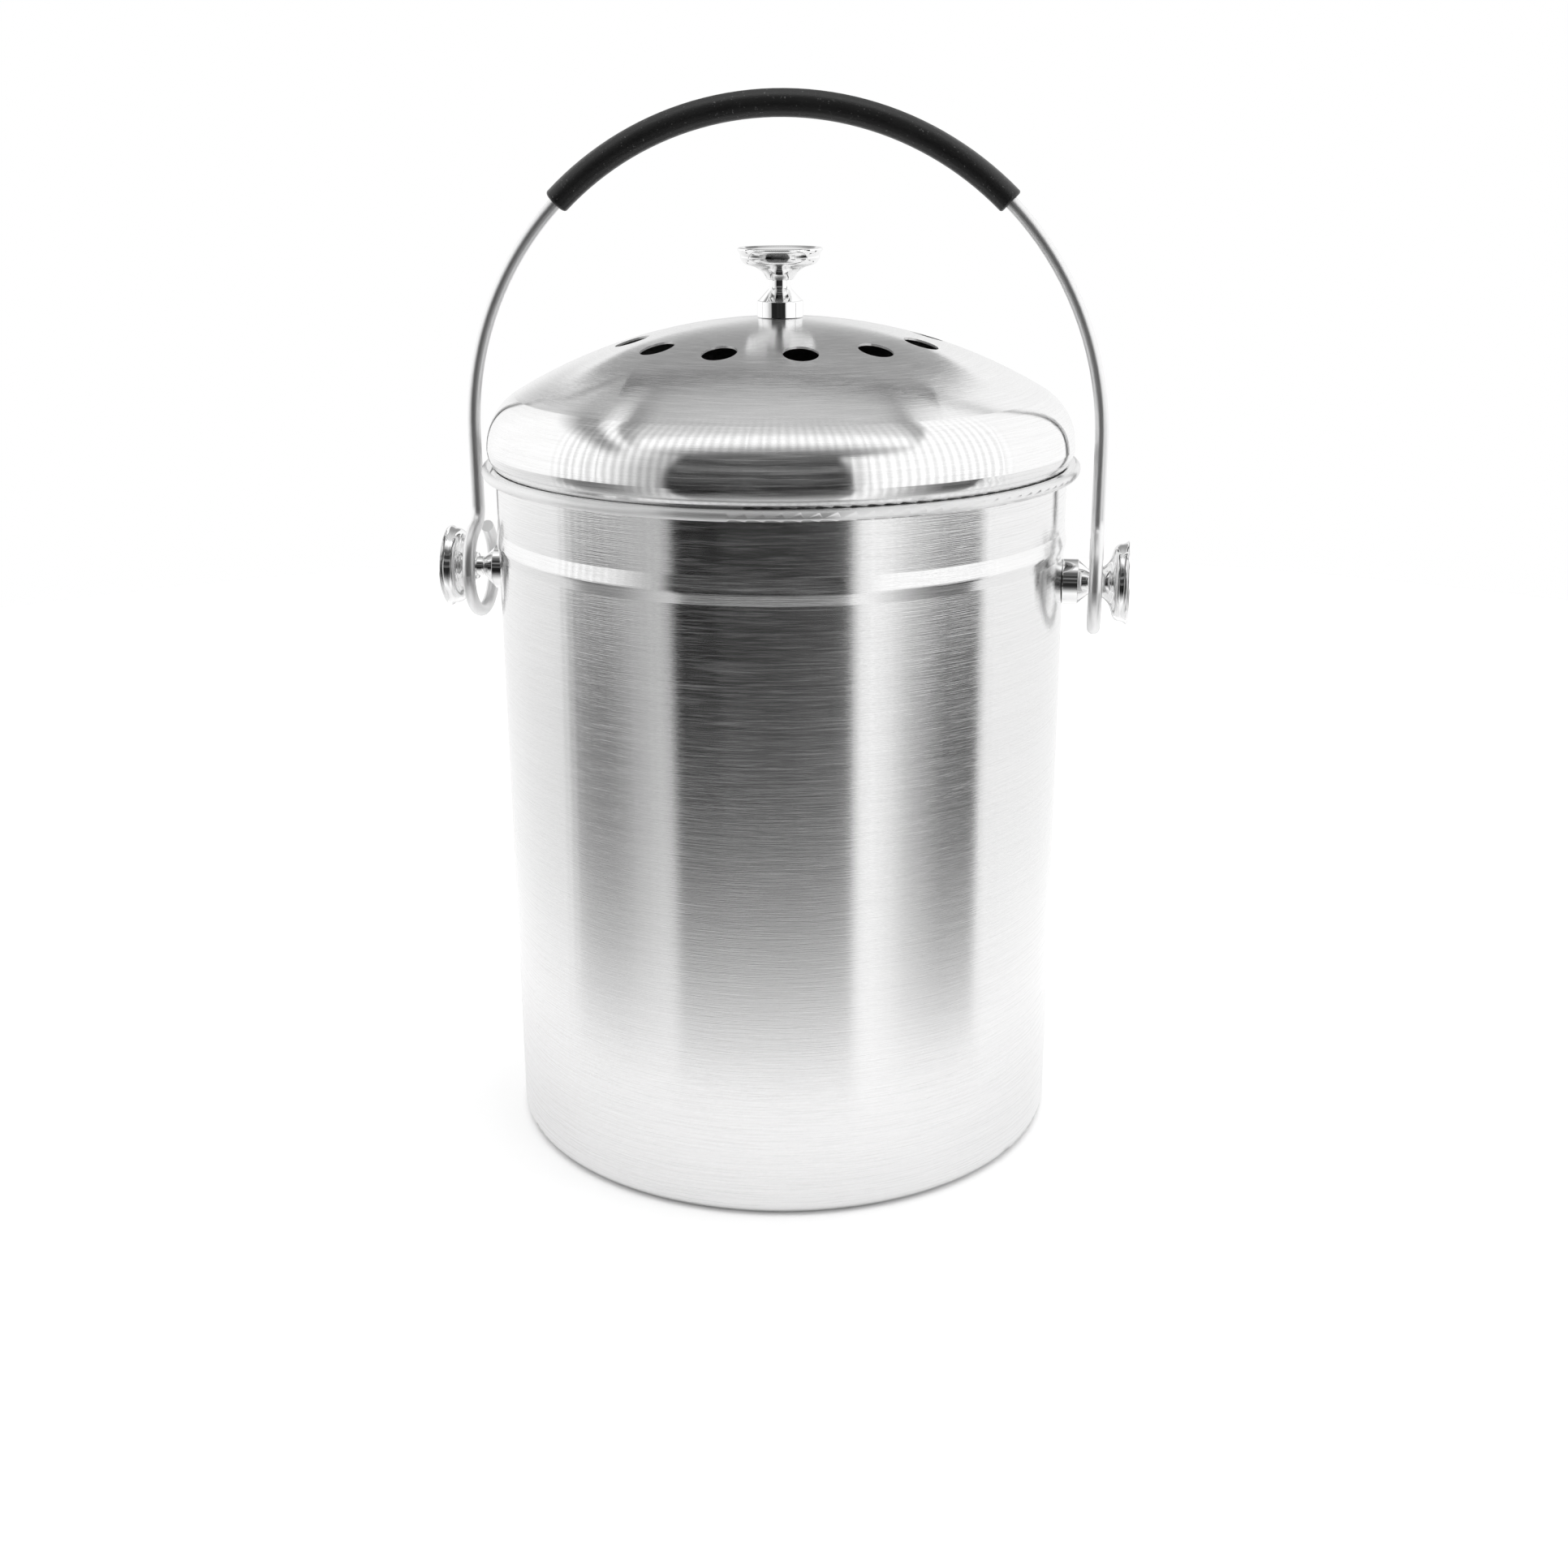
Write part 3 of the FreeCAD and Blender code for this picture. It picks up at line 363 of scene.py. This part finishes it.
def filter_pad(material):
    """Felt pad in the tray: crowned above, flat where it lies on the grille, soft at the edge."""
    radius = PAD_HIGH.x
    thickness = PAD_HIGH.z - PAD_LOW.z
    crown = 0.12 * thickness
    edge = 0.42 * thickness
    uneven = 0.05 * thickness
    around = 144
    rings = 36
    edge_rings = 8
    flat_radius = radius - edge
    side_low = PAD_LOW.z + edge
    side_high = PAD_HIGH.z - crown - edge

    def loop(mesh, ring_radius, height, lumps):
        ring = []
        for step in range(around):
            turn = FULL_TURN * step / around
            point = Vector((ring_radius * math.cos(turn), ring_radius * math.sin(turn), height))
            point.z -= lumps * (0.5 + 0.5 * noise.noise(point * PAD_LUMPS))
            ring.append(mesh.verts.new(point))
        return ring

    mesh = bmesh.new()
    loops = []
    for step in range(1, rings + 1):
        share = step / rings
        loops.append(loop(mesh, flat_radius * share, PAD_LOW.z, 0.0))
    for step in range(1, 2 * edge_rings):
        turn = math.pi * step / (2 * edge_rings)
        side = side_low if turn <= math.pi / 2 else side_high
        loops.append(loop(mesh, flat_radius + edge * math.sin(turn), side - edge * math.cos(turn), 0.0))
    for step in range(rings, 0, -1):
        share = step / rings
        height = PAD_HIGH.z - crown * share * share
        loops.append(loop(mesh, flat_radius * share, height, uneven))
    for low, high in zip(loops, loops[1:]):
        for step in range(around):
            after = (step + 1) % around
            mesh.faces.new((low[step], low[after], high[after], high[step]))
    for ring, height in ((loops[0], PAD_LOW.z), (loops[-1], PAD_HIGH.z - uneven / 2)):
        middle = mesh.verts.new((0.0, 0.0, height))
        for step in range(around):
            mesh.faces.new((middle, ring[step], ring[(step + 1) % around]))
    bmesh.ops.recalc_face_normals(mesh, faces=mesh.faces)
    data = bpy.data.meshes.new("filter_pad")
    mesh.to_mesh(data)
    mesh.free()
    data.shade_smooth()
    data.materials.append(material)
    pad = bpy.data.objects.new("filter_pad", data)
    scene.collection.objects.link(pad)
    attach(pad, "filter")
    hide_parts("charcoal_filter")


def dress(material, *names):
    for name in names:
        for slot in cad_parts[name].material_slots:
            slot.material = material


PIVOTS = ("left_pivot", "right_pivot")
dress(brushed_steel(), "pail_shell", "lid_dome")
dress(chrome(), "lid_knob", *[f"{pivot}_knob" for pivot in PIVOTS])
dress(drawn_wire(), "bail_wire")
dress(rubber(), "grip_sleeve")
dress(plastic(), "filter_tray")
fixings = [f"{place}_{kind}" for place in (*PIVOTS, "lid_knob") for kind in ("screw", "washer")]
dress(fastener_steel(), *fixings)
filter_pad(felt())

# Studio: a white tent round the bin, open towards the camera. Bearings are degrees from the camera, to the
# right of it positive, each with its brightness. The wall mirrors the low ring, lid and knobs the high one
LOW_RING = (
    (-180, 0.55),
    (-168, 1.0),
    (-140, 0.95),
    (-108, 0.82),
    (-101, 0.78),
    (-96, 0.56),
    (-91, 0.24),
    (-84, 0.15),
    (-76, 0.12),
    (-68, 0.20),
    (-60, 0.38),
    (-50, 0.55),
    (-45, 0.50),
    (-42, 0.0),
    (-26, 0.0),
    (-23, 0.02),
    (4, 0.03),
    (20, 0.07),
    (27, 0.16),
    (30, 0.95),
    (36, 1.02),
    (44, 0.80),
    (52, 0.45),
    (60, 0.22),
    (68, 0.04),
    (84, 0.0),
    (88, 0.93),
    (100, 0.96),
    (168, 1.0),
    (180, 0.55),
)
HIGH_RING = (
    (-180, 0.80),
    (-165, 0.98),
    (-140, 1.15),
    (-100, 1.18),
    (-70, 1.0),
    (-62, 0.80),
    (-55, 0.60),
    (-47, 0.50),
    (-43, 0.05),
    (-18, 0.05),
    (-14, 0.12),
    (-5, 0.07),
    (5, 0.11),
    (15, 0.07),
    (25, 0.08),
    (29, 0.90),
    (38, 1.15),
    (60, 1.18),
    (100, 1.15),
    (140, 1.12),
    (165, 0.98),
    (180, 0.80),
)
# Heights in degrees over which the low ring gives way to the high one
RINGS_MEET = (-14.0, -5.0)
# In front the tent is open: bearings with the share of the room behind the camera that shows there, and that
# room's bars, as heights in degrees with their brightness
OPENING = (
    (-180, 0.0),
    (-44, 0.0),
    (-41, 0.85),
    (22, 0.85),
    (26, 0.0),
    (180, 0.0),
)
FRONT_BARS = (
    (-10, 0.01),
    (2, 0.01),
    (4, 0.12),
    (9, 0.12),
    (11, 0.03),
    (20, 0.03),
    (22, 0.24),
    (27, 0.24),
    (29, 0.04),
    (38, 0.04),
    (40, 0.14),
    (46, 0.14),
)
# Ceiling: degrees over the bin from the camera's side, each with its brightness
CEILING = (
    (0, 0.09),
    (48, 0.10),
    (56, 0.16),
    (66, 0.62),
    (74, 1.15),
    (86, 1.18),
    (94, 0.76),
    (110, 0.66),
    (122, 0.52),
    (134, 0.38),
    (146, 0.32),
    (158, 0.36),
    (170, 0.70),
    (180, 0.80),
)
# Where each side wall meets the ceiling: bearing and height of the top of its edge, and the seam along that
# edge, as degrees above it with the share of light that is left
LEFT_EDGE = (-118.0, 54.0)
LEFT_SEAM = (
    (-30, 1.0),
    (-17, 1.0),
    (-10, 0.30),
    (-6, 0.30),
    (-3, 0.95),
    (-0.8, 1.0),
    (0.4, 0.5),
    (3, 0.6),
    (6, 1.0),
)
RIGHT_EDGE = (118.0, 59.0)
RIGHT_SEAM = (
    (-30, 1.0),
    (-1.2, 1.0),
    (0.2, 0.55),
    (2.5, 0.65),
    (5, 1.0),
)
# A seam fades in as the cosine of the bearing from the top of its edge passes from the first to the second
SEAM_REACH = (0.60, 0.85)
# Elsewhere the ceiling starts at these heights, behind and in front, and its edge is soft by these degrees
BACK_EDGE = 14.0
FRONT_EDGE = 44.0
EDGE_SOFTNESS = 1.5
# Cosines of the bearing over which the back's height passes to the front's, and over which the side edges,
# low straight behind the bin, reach their full height
BACK_TO_FRONT = (-0.2, 0.3)
BEHIND = (-1.0, -0.85)
# Share of their height that the side edges keep straight behind the bin
BEHIND_SHARE = 0.35
# Rows of lamps behind the cloth fan out from the point behind the bin: degrees between two of them, how they
# stand out, the degrees over which the fan ends, and the brightness of cloth over which they start to show
LAMP_ROWS = 1.9
ROW_DEPTH = 0.22
ROWS_END = (44.0, 50.0)
ROWS_LIT = (0.1, 0.5)
# Lamp above the tent
LAMP_SIZE = 1.6
LAMP_POWER = 9.0
LAMP_HEIGHT = 1.5
# Table top. In the metal it is whole up to the bright radius, and then fades with distance
FLOOR_RADIUS = 0.9
FLOOR_SHADE = 0.9
FLOOR_BRIGHT = 0.165
FLOOR_FADE = 0.12
# Its glow to the eye and in the metal, and the ring round the wall in which the contact shadow takes it away
GLOW_SEEN = 0.30
GLOW_MIRRORED = 0.21
SHADOW_RING = (WALL_RADIUS - 0.004, WALL_RADIUS + 0.002)


def studio():
    """White tent as the world's light. To the eye itself the world is plain white."""
    world = bpy.data.worlds.new("studio")
    scene.world = world
    world.use_nodes = True
    graph = Nodes(world.node_tree)
    way = graph.add("ShaderNodeTexCoord").outputs["Generated"]
    way_x, way_y, way_z = graph.add("ShaderNodeSeparateXYZ", {"Vector": way}).outputs
    from_front = graph.math("ARCTAN2", way_x, graph.math("MULTIPLY", way_y, -1.0))
    # One turn and a half goes on and half a turn comes off, so that the bearing's jump lies behind the bin
    turns = graph.math("ADD", graph.math("DIVIDE", from_front, FULL_TURN), 1.5 - CAMERA_BEARING / FULL_TURN)
    bearing = graph.math("MULTIPLY", graph.math("SUBTRACT", graph.math("FRACT", turns), 0.5), FULL_TURN)
    degrees = graph.math("DEGREES", bearing)
    height = graph.math("DEGREES", graph.math("ARCSINE", way_z))
    facing = graph.math("COSINE", bearing)

    low = graph.ramp(degrees, LOW_RING)
    high = graph.ramp(degrees, HIGH_RING)
    high = graph.mix(high, graph.ramp(height, FRONT_BARS), graph.ramp(degrees, OPENING))
    ring = graph.mix(low, high, graph.remap(height, *RINGS_MEET, 0.0, 1.0, smooth=True))

    level_out = graph.math("COSINE", graph.math("RADIANS", height))
    forward = graph.math("MULTIPLY", facing, level_out)
    sideways = graph.math("MULTIPLY", graph.math("SINE", bearing), level_out)
    over = graph.math("DEGREES", graph.math("ARCTAN2", way_z, forward))
    ceiling = graph.ramp(over, CEILING)

    kept_behind = graph.remap(facing, *BEHIND, BEHIND_SHARE, 1.0, smooth=True)

    def edge_height(side, top):
        rise = graph.math("COSINE", graph.math("SUBTRACT", bearing, math.radians(side)))
        edge = graph.math("ARCTANGENT", graph.math("MULTIPLY", rise, math.tan(math.radians(top))))
        return rise, graph.math("MULTIPLY", graph.math("DEGREES", edge), kept_behind)

    left_rise, left = edge_height(*LEFT_EDGE)
    right_rise, right = edge_height(*RIGHT_EDGE)
    ends = graph.remap(facing, *BACK_TO_FRONT, BACK_EDGE, FRONT_EDGE, smooth=True)
    edge = graph.math("MAXIMUM", graph.math("MAXIMUM", left, right), ends)
    above = graph.math("SUBTRACT", height, edge)
    share = graph.remap(above, -EDGE_SOFTNESS, EDGE_SOFTNESS, 0.0, 1.0, smooth=True)
    level = graph.mix(ring, ceiling, share)

    fan = graph.math("DEGREES", graph.math("ARCTAN2", sideways, graph.math("ADD", forward, 1.0)))
    rows = graph.math("SINE", graph.math("MULTIPLY", fan, FULL_TURN / LAMP_ROWS))
    row_depth = graph.remap(graph.math("ABSOLUTE", fan), *ROWS_END, ROW_DEPTH, 0.0)
    row_depth = graph.math("MULTIPLY", row_depth, graph.remap(level, *ROWS_LIT, 0.0, 1.0))
    level = graph.math("MULTIPLY", level, graph.math("MULTIPLY_ADD", rows, row_depth, 1.0))

    for rise, side, seam in ((left_rise, left, LEFT_SEAM), (right_rise, right, RIGHT_SEAM)):
        shade = graph.ramp(graph.math("SUBTRACT", height, side), seam)
        near = graph.remap(rise, *SEAM_REACH, 0.0, 1.0, smooth=True)
        level = graph.math("MULTIPLY", level, graph.mix(1.0, shade, near))

    lit = graph.add("ShaderNodeBackground", {"Color": graph.grey(level), "Strength": 1.0})
    seen = graph.add("ShaderNodeBackground", {"Color": (1.0, 1.0, 1.0, 1.0), "Strength": 1.0})
    camera_ray = graph.add("ShaderNodeLightPath").outputs["Is Camera Ray"]
    mixed = graph.add("ShaderNodeMixShader", {0: camera_ray, 1: lit.outputs[0], 2: seen.outputs[0]})
    graph.add("ShaderNodeOutputWorld", {"Surface": mixed.outputs[0]})


def overhead_lamp():
    """Soft lamp above the tent, for even light on the floor and a shadow under the bin."""
    data = bpy.data.lights.new("overhead_lamp", "AREA")
    data.shape = "DISK"
    data.size = LAMP_SIZE
    data.energy = LAMP_POWER
    lamp = bpy.data.objects.new("overhead_lamp", data)
    scene.collection.objects.link(lamp)
    lamp.location = (0.0, 0.0, LAMP_HEIGHT)
    lamp.visible_glossy = False


def floor():
    """Round pale table top, which keeps the bin's shadow and still reads as white."""
    mesh = bmesh.new()
    bmesh.ops.create_circle(mesh, cap_ends=True, segments=96, radius=FLOOR_RADIUS)
    data = bpy.data.meshes.new("floor")
    mesh.to_mesh(data)
    mesh.free()
    table = bpy.data.objects.new("floor", data)
    scene.collection.objects.link(table)
    material = bpy.data.materials.new("floor_pale")
    material.use_nodes = True
    material.cycles.emission_sampling = "NONE"
    graph = Nodes(material.node_tree)
    paint = graph.add("ShaderNodeBsdfDiffuse", {"Color": (FLOOR_SHADE, FLOOR_SHADE, FLOOR_SHADE, 1.0)})
    path = graph.add("ShaderNodeLightPath").outputs
    place = graph.add("ShaderNodeTexCoord").outputs["Object"]
    away = graph.vector_math("LENGTH", place, output="Value")
    looked_at = graph.math("ADD", path["Is Camera Ray"], path["Is Transmission Ray"], clamp=True)
    mirrored = graph.math("MULTIPLY", path["Is Glossy Ray"], GLOW_MIRRORED)
    strength = graph.math("MULTIPLY_ADD", looked_at, GLOW_SEEN, mirrored)
    strength = graph.math("MULTIPLY", strength, graph.remap(away, *SHADOW_RING, 0.0, 1.0, smooth=True))
    glow = graph.add("ShaderNodeEmission", {"Strength": strength})
    top = graph.add("ShaderNodeAddShader", {0: paint.outputs[0], 1: glow.outputs[0]})
    within_bright = graph.math("SUBTRACT", FLOOR_BRIGHT, away)
    fade = graph.math("EXPONENT", graph.math("DIVIDE", within_bright, FLOOR_FADE))
    fade = graph.math("MINIMUM", fade, 1.0)
    clear = graph.math("MULTIPLY", path["Is Glossy Ray"], graph.math("SUBTRACT", 1.0, fade))
    beyond = graph.add("ShaderNodeBsdfTransparent")
    both = graph.add("ShaderNodeMixShader", {0: clear, 1: top.outputs[0], 2: beyond.outputs[0]})
    graph.add("ShaderNodeOutputMaterial", {"Surface": both.outputs[0]})
    data.materials.append(material)


def camera():
    """The photograph's camera, turned about the axis to its bearing."""
    level = math.cos(CAMERA_PITCH)
    ahead = Vector((math.sin(CAMERA_PAN) * level, math.cos(CAMERA_PAN) * level, -math.sin(CAMERA_PITCH)))
    right = Vector((math.cos(CAMERA_PAN), -math.sin(CAMERA_PAN), 0.0))
    up = right.cross(ahead)
    rolled_right = math.cos(CAMERA_ROLL) * right + math.sin(CAMERA_ROLL) * up
    rolled_up = -math.sin(CAMERA_ROLL) * right + math.cos(CAMERA_ROLL) * up
    turned = Matrix((rolled_right, rolled_up, -ahead)).transposed().to_4x4()
    stand = Matrix.Translation((0.0, -CAMERA_DISTANCE, CAMERA_HEIGHT))
    data = bpy.data.cameras.new("photo_camera")
    data.sensor_width = SENSOR
    data.sensor_fit = "HORIZONTAL"
    data.lens = FOCAL_PIXELS / PHOTO_SIDE * SENSOR
    data.clip_start = 0.01
    eye = bpy.data.objects.new("photo_camera", data)
    scene.collection.objects.link(eye)
    eye.matrix_world = Matrix.Rotation(CAMERA_BEARING, 4, "Z") @ stand @ turned
    scene.camera = eye


studio()
overhead_lamp()
floor()
camera()
scene.view_settings.view_transform = "Standard"
scene.cycles.glossy_bounces = 12
